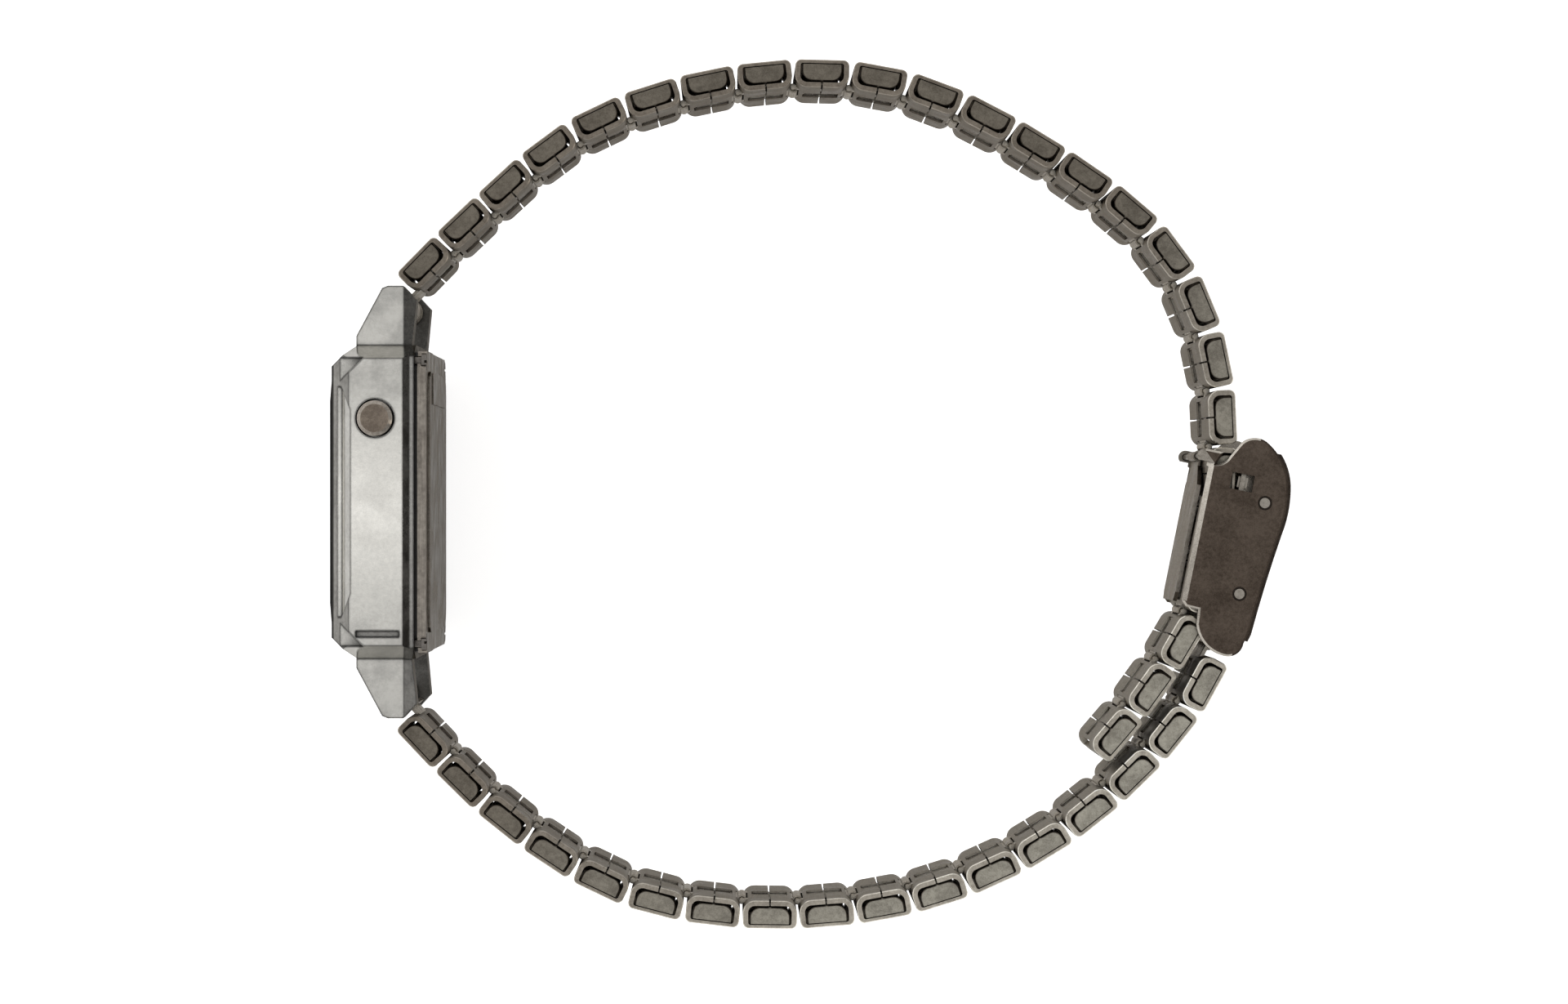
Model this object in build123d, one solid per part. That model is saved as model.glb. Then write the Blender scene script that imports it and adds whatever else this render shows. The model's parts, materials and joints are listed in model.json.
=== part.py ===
from build123d import *
import math
import os

# A digital wristwatch lying on its side, its folded-link bracelet closed by a sliding clasp.
# X runs from the crystal across the loop to the clasp, Y towards 12 o'clock and Z towards
# 3 o'clock. While it is built, X = 0 is the bezel's face and Y = Z = 0 the case's middle.
# At the end everything is shifted so that the origin is under the middle, on the floor.
# Sizes are in millimetres, angles in degrees.

os.makedirs("parts", exist_ok=True)

overrun = 1.0
fit_gap = 0.05
running_gap = 0.05

# Case, with depths counted from the bezel's face towards the wrist
case_width = 33.2
lug_to_lug = 37.0
bar_block_gap = 3.55
bezel_end_run = 1.85
bezel_side_run = 2.3
end_chamfer_depth = 2.1
panel_end_run = 1.2
panel_front_depth = 1.6
undercut_slope = 0.5
undercut_rim = 0.4
undercut_inset = 0.65
corner_facet_length = 2.4
corner_facet_depth = 1.25

scoop_run_out = 2.2
scoop_front_depth = 0.95
scoop_back_depth = 1.75
scoop_drop = 1.5

groove_end_gap = 1.0
groove_width = 0.55
groove_sink = 0.3
groove_front_gap = 0.6
groove_back_gap = 0.3

# Lugs and their spring bars
band_width = 18.0
lug_side_gap = 0.1
lug_width = 3.7
lug_root_depth = 2.0
lug_root_run = 0.8
lug_tip_reach = 1.55
lug_tip_front = 1.1
lug_tip_flat = 0.6
lug_tip_back = 0.7
lug_tip_drop = 0.2
lug_heel_reach = 0.35
lug_facet_sink = 1.1
lug_waist = 0.5
bar_depth = 5.3
bar_radius = 0.75
bar_end_gap = 0.2
bar_tip_radius = 0.4
bar_tip_length = 1.25
bar_collar_radius = 0.5

# Crystal, dial and display
crystal_end_rim = 0.45
crystal_side_rim = 0.6
crystal_corner = 2.4
crystal_thickness = 1.6
crystal_proud = 0.2
crystal_bevel = 0.2
ledge_length = 1.5
ledge_width = 1.7
ledge_thickness = 0.3
dial_thickness = 0.2
dial_end_gap = 0.55
dial_side_gap = 0.3
display_end_gap = 3.9
display_side_gap = 1.9
display_place = -1.2
lcd_thickness = 1.2

# Module behind the display
case_end_wall = 1.95
case_side_wall = 3.4
cavity_corner = 1.4
frame_clearance = 0.15
frame_back_gap = 0.25
frame_end_wall = 2.8
frame_side_wall = 1.95
board_end_wall = 1.1
board_side_wall = 1.45
board_thickness = 0.55
connector_width = 0.9
connector_end_gap = 0.9
connector_height = 1.05
chip_radius = 2.3
chip_height = 0.75
quartz_radius = 0.5
quartz_length = 4.2
quartz_place = 6.2
battery_side_gap = 0.2
battery_thickness = 1.6
battery_cap_step = 1.3
battery_cap_height = 0.3
battery_gap = 0.1
battery_clip_thickness = 0.12
battery_clip_half_width = 1.6
battery_clip_lift = 0.06
battery_clip_tab = 0.5
module_room = 0.27

# Case back, gasket and screws
gasket_thickness = 0.25
gasket_inset = 0.12
back_end_inset = 0.55
back_side_inset = 0.6
back_corner = 1.5
back_thickness = 0.75
pad_end_inset = 1.65
pad_side_inset = 2.75
pad_height = 0.2
pad_corner = 2.0
boss_end_inset = 0.1
boss_side_inset = 3.1
boss_length = 2.7
boss_height = 0.32
screw_inset = 0.9
screw_radius = 0.45
screw_head_radius = 0.72
screw_head_height = 0.4
screw_length = 3.6
screw_slot = 0.22
screw_slot_sink = 0.18

# Push buttons, one on the 3 o'clock side and two on the 9 o'clock side
button_depth = 3.85
button_end_gap = 5.1
button_well_radius = 1.65
button_well_sink = 2.0
button_gap = 0.15
button_cap_radius = 1.5
button_cap_bevel = 0.3
button_proud = 0.8
button_travel = 0.6
button_shaft_radius = 0.6
button_shaft_reach = 0.95
button_ring_radius = 1.1
button_ring_groove = 0.45
button_ring_thickness = 0.2
button_ring_gap = 0.1
button_pocket_half = 1.4
button_pocket_reach = 2.3
contact_half_width = 0.8
contact_thickness = 0.15
contact_height = 1.1

# Folded link: x along the strand, y away from the wrist, z across the band
pitch = 4.85
link_thickness = 2.4
link_gap_inner = 0.15
link_gap_outer = 0.22
link_corner_inner = 1.05
link_corner_outer = 0.5
link_sheet = 0.45
link_face_sheet = 0.3
link_edge_bevel = 0.08
link_seam = 0.15
insert_side_gap = 0.15
insert_inner_gap = 0.15
insert_corner = 0.9
insert_top_corner = 0.12
insert_thickness = 1.2
insert_sink = 0.1

# Opening in the inner face of a link, and the thin sheet left on each side of it
slot_half_length = 1.55
slot_half_width = 2.1
lobe_sheet = 0.18

# Connecting clip of a link: a strip with an eye in front and a bar behind
clip_level = -0.83
clip_thickness = 0.3
clip_half_length = 1.6
clip_side_inset = 4.6
clip_arm_width = 1.4
clip_tongue_gap = 0.15
clip_eye_radius = 0.42
clip_bore_radius = 0.25
clip_bar_radius = 0.21
clip_bar_gap = 0.1
clip_notch_gap = 0.2
clip_wing_width = 1.2
clip_wing_half_length = 1.0
clip_wing_low = -0.72
clip_wing_high = -0.5
clip_window_wall = 0.2
end_reach = 4.15
pin_reach = 4.1
end_eye_wall = 0.35
end_eye_gap = 0.3
open_gap = 0.3
open_hook_angles = (-15, 10, 35, 60)

# Headings of the links, from each lug outward along its strand, with X to the right and Y up
upper_headings = (46, 44, 43, 37, 26, 18, 12, 6, -1, -10, -20, -27, -31, -34, -40, -53, -67, -78, -87)
inner_headings = (-93, -101, -101)
clasp_heading = -101
tail_headings = (-121, -126, -131)
lower_headings = (-47, -45, -39, -34, -26, -15, -7, -1, 4, 10, 17, 24, 31, 38, 44, 51, 61)

# Clasp, in its own frame: s along it from just before the strand's last pivot, t away from the wrist
clasp_overlap = 0.5
cheek_thickness = 0.6
cheek_gap = 0.15
cheek_bevel = 0.18
cheek_bend = 0.42
cheek_edge = -0.15
cheek_top = 1.95
cheek_bottom = 14.1
cheek_lobe_start = (14.6, 1.4)
cheek_notch = (14.55, 0.3)
cheek_lobe_flat = (15.9, 1.5)
cheek_lobe_side = (17.55, 2.7)
cheek_lobe_end = (18.1, 4.4)
cheek_lobe_heel = (17.8, 5.3)
cheek_tail = (16.7, 5.8)
cheek_back_end = (15.8, 6.05)
cheek_back_middle = (11.0, 6.45)
cheek_back_start = (6.8, 6.95)
cheek_crown = (4.9, 7.12)
cheek_crown_start = (3.0, 6.95)
cheek_brow = (0.75, 6.0)
cheek_nose = (-0.6, 4.5)
cheek_chin = (-0.8, 3.1)
cheek_throat = (0.0, 2.1)
cheek_neck = (1.2, 1.45)
cheek_shoulder = (1.85, 0.9)
lip_start = 5.0
lip_thickness = 0.35
lip_width = 1.25
base_low = 2.8
base_high = 3.2
base_start = 2.2
base_end = 13.8
window_corner_low = (2.4, 1.95)
window_corner_high = (3.85, 3.9)
latch_head_low = (2.65, 2.6)
latch_head_high = (3.6, 3.45)
latch_head_length = 2.0
latch_body_low = (1.95, 2.8)
latch_body_high = (4.3, 4.3)
dimple_places = ((4.5, 5.2), (12.6, 4.6))
dimple_radius = 0.62
dimple_sink = 0.16
dimple_boss_radius = 0.44
dimple_boss_height = 0.12

# Clasp pins, flap and cover
end_pin_place = (16.6, 3.6)
end_pin_radius = 0.5
end_pin_wall = 0.3
cover_pin_place = (1.6, 5.1)
cover_pin_radius = 0.45
pin_seat = 0.3
flap_pin_place = (1.5, -0.68)
flap_pin_radius = 0.25
flap_knuckle_radius = 0.42
flap_ear_radius = 0.6
flap_side_inset = 3.25
flap_root_inset = 3.0
flap_shoulder = 1.7
flap_level = -0.5
flap_thickness = 0.35
flap_start = 2.3
flap_end = 14.3
flap_corner = 0.8
cover_proud = 0.3
cover_thickness = 0.6
cover_start = 0.1
cover_end = 16.5
cover_flange_width = 0.5
cover_flange_start = 2.6
cover_flange_end = 15.3
cover_flange_level = 4.2
cover_ear_radius = 1.0
cover_ear_width = 1.4
cover_lip_place = 11.4
cover_lip_radius = 0.25
cover_lip_inset = 3.0

# Sizes worked out from those above: widths, lengths and depths of the case and module
half_case = case_width / 2
half_band = band_width / 2
bar_reach = lug_to_lug / 2 - lug_tip_reach
block_half_length = bar_reach - bar_block_gap
panel_half_length = block_half_length - panel_end_run
bezel_half_length = block_half_length - bezel_end_run
bezel_half_width = half_case - bezel_side_run
scoop_half_length = panel_half_length - corner_facet_length
lug_inner = half_band + lug_side_gap
lug_outer = lug_inner + lug_width
bar_half_length = lug_inner - bar_end_gap

crystal_half_length = bezel_half_length - crystal_end_rim
crystal_half_width = bezel_half_width - crystal_side_rim
window_half_length = crystal_half_length - ledge_length
window_half_width = crystal_half_width - ledge_width
cavity_half_length = block_half_length - case_end_wall
cavity_half_width = half_case - case_side_wall
dial_half_length = cavity_half_length - dial_end_gap
dial_half_width = cavity_half_width - dial_side_gap
frame_half_length = cavity_half_length - frame_clearance
frame_half_width = cavity_half_width - frame_clearance
lcd_half_length = frame_half_length - frame_end_wall
lcd_half_width = frame_half_width - frame_side_wall
display_half_length = lcd_half_length - display_end_gap
display_half_width = lcd_half_width - display_side_gap
board_half_length = frame_half_length - board_end_wall
board_half_width = frame_half_width - board_side_wall
connector_half_length = lcd_half_width - connector_end_gap
battery_room = min(board_half_length, board_half_width - battery_clip_tab)
battery_radius = battery_room - battery_side_gap
battery_cap_radius = battery_radius - battery_cap_step
button_place = panel_half_length - button_end_gap
button_shaft_end = cavity_half_width - button_shaft_reach
button_pocket_end = cavity_half_width - button_pocket_reach

ledge_depth = crystal_thickness - crystal_proud + fit_gap
ledge_back = ledge_depth + ledge_thickness
dial_depth = ledge_back + fit_gap
lcd_depth = dial_depth + dial_thickness + fit_gap
connector_depth = lcd_depth + lcd_thickness + fit_gap
board_depth = connector_depth + connector_height + fit_gap
battery_depth = board_depth + board_thickness + battery_gap
battery_back = battery_depth + battery_thickness
battery_clip_back = battery_back + battery_clip_lift + battery_clip_thickness
case_back_depth = battery_clip_back + module_room
frame_back_depth = case_back_depth - frame_back_gap
undercut_depth = case_back_depth - undercut_rim
panel_back_depth = undercut_depth - undercut_slope
plate_depth = case_back_depth + gasket_thickness
plate_back = plate_depth + back_thickness
back_half_length = block_half_length - back_end_inset
back_half_width = half_case - undercut_inset - back_side_inset
pad_half_length = back_half_length - pad_end_inset
pad_half_width = back_half_width - pad_side_inset
boss_high = pad_half_length - boss_end_inset
boss_low = boss_high - boss_length
boss_half_width = pad_half_width - boss_side_inset
screw_place_length = back_half_length - screw_inset
screw_place_width = back_half_width - screw_inset

# Sizes of the links and clasp worked out from those above
link_length_inner = pitch - link_gap_inner
link_length_outer = pitch - link_gap_outer
clip_half_width = half_band - clip_side_inset
clip_arm_inner = clip_half_width - clip_arm_width
clip_tongue_half = clip_arm_inner - clip_tongue_gap
clip_low = clip_level - clip_thickness / 2
clip_high = clip_level + clip_thickness / 2
notch_half_width = clip_half_width + clip_notch_gap
notch_level = clip_level + clip_eye_radius + fit_gap
wing_half_width = clip_half_width + clip_wing_width
clip_window_half = clip_half_length - clip_window_wall
end_eye_half_width = half_band - end_eye_gap
cheek_inner = half_band + cheek_gap
cheek_outer = cheek_inner + cheek_thickness
flap_half_width = half_band - flap_side_inset
flap_root_half = flap_half_width - flap_root_inset
cover_lip_half_width = half_band - cover_lip_inset


# Helpers

def block(x_low, x_high, y_low, y_high, z_low, z_high):
    """A box between two places along each axis."""
    middle = Pos((x_low + x_high) / 2, (y_low + y_high) / 2, (z_low + z_high) / 2)
    return middle * Box(x_high - x_low, y_high - y_low, z_high - z_low)


def rod(place, radius, z_low, z_high):
    """A round bar across the band, at a place along and away."""
    return Pos(place[0], place[1], (z_low + z_high) / 2) * Cylinder(radius, z_high - z_low)


def across(outline, low, high):
    """A flat outline of the side view, made solid from one place across the band to another."""
    return extrude(Pos(0, 0, low) * outline, high - low, dir=(0, 0, 1))


def both_sides(solid):
    """A solid and its mirror image on the other side of the band's middle."""
    return solid + mirror(solid, Plane.XY)


def facing(outline, depth_low, depth_high):
    """An outline of the front view, made solid from one depth to another."""
    return extrude(Plane.YZ.offset(depth_low) * outline, depth_high - depth_low, dir=(1, 0, 0))


def cut_corner_rectangle(half_length, half_width, corner):
    """A front-view rectangle with its four corners cut off."""
    return Polygon(
        (half_length - corner, half_width),
        (half_length, half_width - corner),
        (half_length, corner - half_width),
        (half_length - corner, -half_width),
        (corner - half_length, -half_width),
        (-half_length, corner - half_width),
        (-half_length, half_width - corner),
        (corner - half_length, half_width),
        align=None,
    )


def mirrored_points(points):
    """Points on the positive side of an axis, followed by their mirror images in reverse."""
    return list(points) + [(x, -y) for x, y in reversed(points)]


def turned(point, heading):
    """A point of a local frame, turned to a heading."""
    angle = math.radians(heading)
    return Vector(
        point[0] * math.cos(angle) - point[1] * math.sin(angle),
        point[0] * math.sin(angle) + point[1] * math.cos(angle),
    )


def group(*solids):
    """Separate solids that share one node."""
    return Compound(children=[solid for item in solids for solid in item.solids()])


# Strands: where each link stands

upper_bar = Vector(bar_depth, bar_reach)
lower_bar = Vector(bar_depth, -bar_reach)


def strand(start, headings, side, first_reach):
    """The middles and front pivots of links in a row. Away from the wrist is side * y."""
    places = []
    pivot = start
    reach = first_reach
    for heading in headings:
        middle = pivot + turned((reach, -side * clip_level), heading)
        pivot = middle + turned((pitch / 2, side * clip_level), heading)
        places.append((middle, heading, pivot))
        reach = pitch / 2
    return places


def direction(vector):
    """The heading of a vector."""
    return math.degrees(math.atan2(vector.Y, vector.X))


def turned_strand(headings, turn):
    return [heading + turn for heading in headings]


def close_loop():
    """How far each strand turns about its lug bar so that both meet at the clasp's end pin."""
    upper_end = strand(upper_bar, upper_headings, 1, end_reach)[-1][2]
    upper_pin = upper_end + turned((end_pin_place[0] - clasp_overlap, end_pin_place[1]), clasp_heading)
    middle, heading, pivot = strand(lower_bar, lower_headings, -1, end_reach)[-1]
    lower_pin = middle + turned((pin_reach, -clip_level), heading)
    upper_chord = upper_pin - upper_bar
    lower_chord = lower_pin - lower_bar
    between = (upper_bar - lower_bar).length
    rise = (lower_chord.length**2 - upper_chord.length**2 + between**2) / (2 * between)
    reach = math.sqrt(lower_chord.length**2 - rise**2)
    meeting = lower_bar + Vector(reach, rise)
    upper_turn = direction(meeting - upper_bar) - direction(upper_chord)
    lower_turn = direction(meeting - lower_bar) - direction(lower_chord)
    return upper_turn, lower_turn


upper_turn, lower_turn = close_loop()
upper_links = strand(upper_bar, turned_strand(upper_headings, upper_turn), 1, end_reach)
lower_links = strand(lower_bar, turned_strand(lower_headings, lower_turn), -1, end_reach)
upper_end = upper_links[-1][2]
clasp_turn = clasp_heading + upper_turn
clasp_start = upper_end - turned((clasp_overlap, 0), clasp_turn)
inner_links = strand(upper_end, turned_strand(inner_headings, upper_turn), 1, pitch / 2)
tail_links = strand(inner_links[-1][2], turned_strand(tail_headings, lower_turn), 1, pitch / 2)


def clasp_point(place):
    """Where a place of the clasp's own frame stands in the loop."""
    return clasp_start + turned(place, clasp_turn)


def link_location(middle, heading, side):
    """The place and turn of a link. On the lower strand it lies the other way up."""
    flip = 0 if side > 0 else 180
    return Location((middle.X, middle.Y, 0), (0, 0, heading)) * Location((0, 0, 0), (flip, 0, 0))


# Folded link

def link_outline(half_inner, half_outer, low, high, corner_inner, corner_outer):
    """The side view of a link or of its hollow, with its corners rounded."""
    outline = Polygon(
        (-half_inner, low), (half_inner, low), (half_outer, high), (-half_outer, high), align=None
    )
    outline = fillet(outline.vertices().group_by(Axis.Y)[0], corner_inner)
    return fillet(outline.vertices().group_by(Axis.Y)[-1], corner_outer)


def sleeve():
    """The sheet wrapped round a link, open where the connecting clips lie."""
    inner_face = -link_thickness / 2
    outer_face = link_thickness / 2
    outside = link_outline(
        link_length_inner / 2,
        link_length_outer / 2,
        inner_face,
        outer_face,
        link_corner_inner,
        link_corner_outer,
    )
    hollow = link_outline(
        link_length_inner / 2 - link_sheet,
        link_length_outer / 2 - link_sheet,
        inner_face + link_sheet,
        outer_face - link_face_sheet,
        link_corner_inner - link_sheet,
        link_corner_outer - link_face_sheet,
    )
    solid = across(outside, -half_band, half_band)
    ends = solid.faces().sort_by(Axis.Z)
    solid = chamfer(ends[0].edges() + ends[-1].edges(), link_edge_bevel)
    solid -= across(hollow, -half_band - overrun, half_band + overrun)
    seam = block(
        -link_seam / 2,
        link_seam / 2,
        inner_face - overrun,
        inner_face + link_sheet + fit_gap,
        -half_band - overrun,
        half_band + overrun,
    )
    notch = block(
        -link_length_inner,
        link_length_inner,
        inner_face + lobe_sheet,
        notch_level,
        -notch_half_width,
        notch_half_width,
    )
    slot = block(
        -slot_half_length,
        slot_half_length,
        inner_face - overrun,
        notch_level,
        -slot_half_width,
        slot_half_width,
    )
    return solid - seam - notch - slot


def inserts():
    """The two D-shaped end plates seen in the sides of a link."""
    top = link_thickness / 2 - link_face_sheet
    half_length = link_length_outer / 2 - link_sheet - insert_side_gap
    outline = link_outline(
        half_length,
        half_length,
        link_sheet + insert_inner_gap - link_thickness / 2,
        top,
        insert_corner,
        insert_top_corner,
    )
    outer = half_band - insert_sink
    plate = across(outline, outer - insert_thickness, outer)
    plate = chamfer(plate.faces().sort_by(Axis.Z)[-1].edges(), link_edge_bevel)
    return plate, mirror(plate, Plane.XY)


def clip_body():
    """The middle of a connecting clip, behind the folded sheet, with a window over its opening."""
    strip = block(
        -clip_half_length, clip_half_length, clip_low, clip_high, -clip_half_width, clip_half_width
    )
    wings = block(
        -clip_wing_half_length,
        clip_wing_half_length,
        clip_wing_low,
        clip_wing_high,
        -wing_half_width,
        wing_half_width,
    )
    window = block(
        -clip_window_half,
        clip_window_half,
        clip_low - overrun,
        clip_wing_high + overrun,
        -slot_half_width,
        slot_half_width,
    )
    return strip + wings - window


def clip_bar():
    """The bar behind a link that the eye of the link before it turns on, with its two arms."""
    place = (-pitch / 2, clip_level)
    arm = block(place[0], -clip_half_length, clip_low, clip_high, clip_arm_inner, clip_half_width)
    window_end = place[0] + clip_eye_radius + clip_bar_gap
    web = block(window_end, -clip_half_length, clip_low, clip_high, -clip_arm_inner, clip_arm_inner)
    return both_sides(arm) + web + rod(place, clip_bar_radius, -clip_half_width, clip_half_width)


def clip_eye():
    """The tongue and curled eye in front of a link."""
    place = (pitch / 2, clip_level)
    tongue = block(
        clip_half_length, place[0], clip_low, clip_high, -clip_tongue_half, clip_tongue_half
    )
    eye = rod(place, clip_eye_radius, -clip_tongue_half, clip_tongue_half)
    bore = rod(place, clip_bore_radius, -clip_half_width, clip_half_width)
    return tongue + eye - bore


def end_strip(reach):
    """The longer strip between a link and the pin at an end of its strand."""
    near, far = sorted((math.copysign(clip_half_length, reach), reach))
    return block(near, far, clip_low, clip_high, -clip_half_width, clip_half_width)


def end_eye(reach, pin_radius, wall):
    """The strip and closed eye that turn on a spring bar or pin."""
    place = (reach, clip_level)
    bore_radius = pin_radius + running_gap
    eye = rod(place, bore_radius + wall, -end_eye_half_width, end_eye_half_width)
    bore = rod(place, bore_radius, -half_band, half_band)
    return end_strip(reach) + eye - bore


def open_hook(reach):
    """The strip and half-open hook round the lower spring bar, where the closed loop is opened."""
    place = (reach, clip_level)
    bore_radius = bar_radius + open_gap
    ring = rod(place, bore_radius + end_eye_wall, -end_eye_half_width, end_eye_half_width)
    rim = 2 * (bore_radius + end_eye_wall)
    corners = [turned((rim, 0), angle) for angle in open_hook_angles]
    sector = Polygon((0, 0), *[(corner.X, corner.Y) for corner in corners], align=None)
    wedge = across(Pos(place[0], place[1]) * sector, -half_band, half_band)
    bore = rod(place, bore_radius, -half_band, half_band)
    return (end_strip(reach) + (ring & wedge)) - bore


link_sleeve = sleeve()
link_inserts = inserts()
clip_middle = clip_body()
rear_bar = clip_bar()
front_eye = clip_eye()


def link_solids(rear, front):
    """The separate solids of one link: sleeve, two end plates and connecting clip."""
    clip = clip_middle + rear
    if front is not None:
        clip = clip + front
    return group(link_sleeve, *link_inserts, clip)


def placed(solids, place, side):
    middle, heading, pivot = place
    return link_location(middle, heading, side) * solids


# Case and what it holds

def lug():
    """One lug, between the band and the case's side."""
    tip = lug_to_lug / 2
    tip_back_depth = bar_depth + lug_tip_back
    outline = Polygon(
        (lug_root_depth, block_half_length - overrun),
        (lug_root_depth, block_half_length + lug_root_run),
        (bar_depth - lug_tip_front, tip - lug_tip_drop),
        (bar_depth - lug_tip_flat, tip),
        (tip_back_depth, tip),
        (case_back_depth, bar_reach + lug_heel_reach),
        (case_back_depth - lug_waist, block_half_length - overrun),
        align=None,
    )
    solid = across(outline, lug_inner, lug_outer)
    facet = Polygon(
        (tip_back_depth, lug_outer + fit_gap),
        (case_back_depth + fit_gap, lug_outer + fit_gap),
        (case_back_depth + fit_gap, lug_outer - lug_facet_sink),
        align=None,
    )
    facet_cut = extrude(Plane.XZ * facet, lug_to_lug, both=True)
    bore_end = bar_half_length + bar_tip_length + fit_gap
    bore = rod((bar_depth, bar_reach), bar_tip_radius + fit_gap, lug_inner - overrun, bore_end)
    return solid - facet_cut - bore


def case_block():
    """The middle of the case, with its end chamfers, side shoulders and undercut back."""
    front_view = Polygon(
        *mirrored_points(
            (
                (-block_half_length, lug_outer),
                (-panel_half_length, half_case),
                (panel_half_length, half_case),
                (block_half_length, lug_outer),
            )
        ),
        align=None,
    )
    side_view = Polygon(
        *mirrored_points(
            (
                (0, bezel_half_length),
                (end_chamfer_depth, block_half_length),
                (case_back_depth, block_half_length),
            )
        ),
        align=None,
    )
    end_view = Polygon(
        *mirrored_points(
            (
                (0, bezel_half_width),
                (panel_front_depth, half_case),
                (panel_back_depth, half_case),
                (undercut_depth, half_case - undercut_inset),
                (case_back_depth, half_case - undercut_inset),
            )
        ),
        align=None,
    )
    solid = facing(front_view, 0, case_back_depth + overrun)
    solid &= across(side_view, -case_width, case_width)
    return solid & extrude(Plane.XZ * end_view, lug_to_lug, both=True)


def corner_facets():
    """The slanted cuts across the four front corners of the case."""
    facet = Polygon(
        (-overrun, panel_half_length + fit_gap),
        (panel_front_depth + corner_facet_depth, panel_half_length + fit_gap),
        (panel_front_depth - corner_facet_depth, panel_half_length - corner_facet_length),
        (-overrun, panel_half_length - corner_facet_length - corner_facet_depth),
        align=None,
    )
    reach = half_case - bezel_half_width
    one = across(facet, half_case - reach / 2, half_case + overrun)
    pair = one + mirror(one, Plane.XZ)
    return both_sides(pair)


def side_scoops():
    """The long shallow bevel between the bezel and each side panel."""
    slope_view = Polygon(
        (scoop_front_depth - overrun, half_case + overrun),
        (scoop_back_depth + overrun, half_case + overrun),
        (scoop_back_depth, half_case),
        (scoop_front_depth, half_case - scoop_drop),
        (scoop_front_depth - overrun, half_case - scoop_drop),
        align=None,
    )
    run_view = Polygon(
        (scoop_front_depth - overrun, -scoop_half_length),
        (scoop_front_depth, -scoop_half_length),
        (scoop_back_depth + fit_gap, scoop_run_out - scoop_half_length),
        (scoop_back_depth + fit_gap, scoop_half_length - scoop_run_out),
        (scoop_front_depth, scoop_half_length),
        (scoop_front_depth - overrun, scoop_half_length),
        align=None,
    )
    slope = extrude(Plane.XZ * slope_view, lug_to_lug, both=True)
    run = across(run_view, half_case - scoop_drop - overrun, half_case + overrun)
    return both_sides(slope & run)


def panel_grooves():
    """The short bar-like groove near the 6 o'clock end of each side panel."""
    place = groove_end_gap - panel_half_length
    groove = block(
        panel_front_depth + groove_front_gap,
        panel_back_depth - groove_back_gap,
        place - groove_width / 2,
        place + groove_width / 2,
        half_case - groove_sink,
        half_case + overrun,
    )
    return both_sides(groove)


def button_places():
    """Each button's name, its place towards 12 o'clock and its side, 1 for 3 o'clock."""
    return (
        ("button_right_upper", button_place, 1),
        ("button_left_upper", button_place, -1),
        ("button_left_lower", -button_place, -1),
    )


def button_bores():
    """The wells and shaft holes of the buttons."""
    bores = []
    for name, place, side in button_places():
        well = rod(
            (button_depth, place),
            button_well_radius,
            half_case - button_well_sink,
            half_case + overrun,
        )
        hole = rod(
            (button_depth, place),
            button_shaft_radius + fit_gap,
            cavity_half_width - overrun,
            half_case,
        )
        both = well + hole
        bores.append(both if side > 0 else mirror(both, Plane.XY))
    return bores


def screw_places():
    return [
        (length, width)
        for length in (-screw_place_length, screw_place_length)
        for width in (-screw_place_width, screw_place_width)
    ]


def front_rod(place, radius, depth_low, depth_high):
    """A round bar along the case's depth, at a front-view place."""
    return facing(Pos(place[0], place[1]) * Circle(radius), depth_low, depth_high)


def case():
    """The one-piece case with its bezel, side panels and four lugs."""
    solid = case_block()
    one = lug()
    pair = one + mirror(one, Plane.XZ)
    solid += both_sides(pair)
    solid -= corner_facets()
    solid -= side_scoops()
    solid -= panel_grooves()
    recess = cut_corner_rectangle(
        crystal_half_length + fit_gap, crystal_half_width + fit_gap, crystal_corner
    )
    solid -= facing(recess, -overrun, ledge_depth)
    window = cut_corner_rectangle(window_half_length, window_half_width, crystal_corner)
    solid -= facing(window, -overrun, ledge_back + overrun)
    cavity = RectangleRounded(2 * cavity_half_length, 2 * cavity_half_width, cavity_corner)
    solid -= facing(cavity, ledge_back, case_back_depth + overrun)
    for bore in button_bores():
        solid -= bore
    screw_end = plate_back - screw_length - fit_gap
    for place in screw_places():
        solid -= front_rod(place, screw_radius, screw_end, case_back_depth + overrun)
    return solid


def crystal():
    """The flat window with its cut corners and bevelled front edge."""
    outline = cut_corner_rectangle(crystal_half_length, crystal_half_width, crystal_corner)
    solid = facing(outline, -crystal_proud, crystal_thickness - crystal_proud)
    return chamfer(solid.faces().sort_by(Axis.X)[0].edges(), crystal_bevel)


def dial_plate():
    """The printed face plate behind the crystal, open over the display."""
    solid = facing(
        cut_corner_rectangle(dial_half_length, dial_half_width, crystal_corner),
        dial_depth,
        dial_depth + dial_thickness,
    )
    opening = Pos(display_place, 0) * Rectangle(2 * display_half_length, 2 * display_half_width)
    return solid - facing(opening, 0, lcd_depth)


def lcd_panel():
    """The display's two glass plates as one slab, with the step of the lower glass."""
    step = lcd_thickness / 2
    back = facing(
        Rectangle(2 * lcd_half_length, 2 * lcd_half_width), lcd_depth + step, lcd_depth + lcd_thickness
    )
    front = facing(
        Rectangle(2 * (lcd_half_length - connector_width), 2 * lcd_half_width),
        lcd_depth,
        lcd_depth + step,
    )
    return back + front


def lcd_connectors():
    """The two rubber strips that join the display to the circuit board."""
    place = lcd_half_length - connector_width
    strip = facing(
        Pos(place, 0) * Rectangle(connector_width, 2 * connector_half_length),
        connector_depth,
        connector_depth + connector_height,
    )
    return group(strip, mirror(strip, Plane.XZ))


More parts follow.
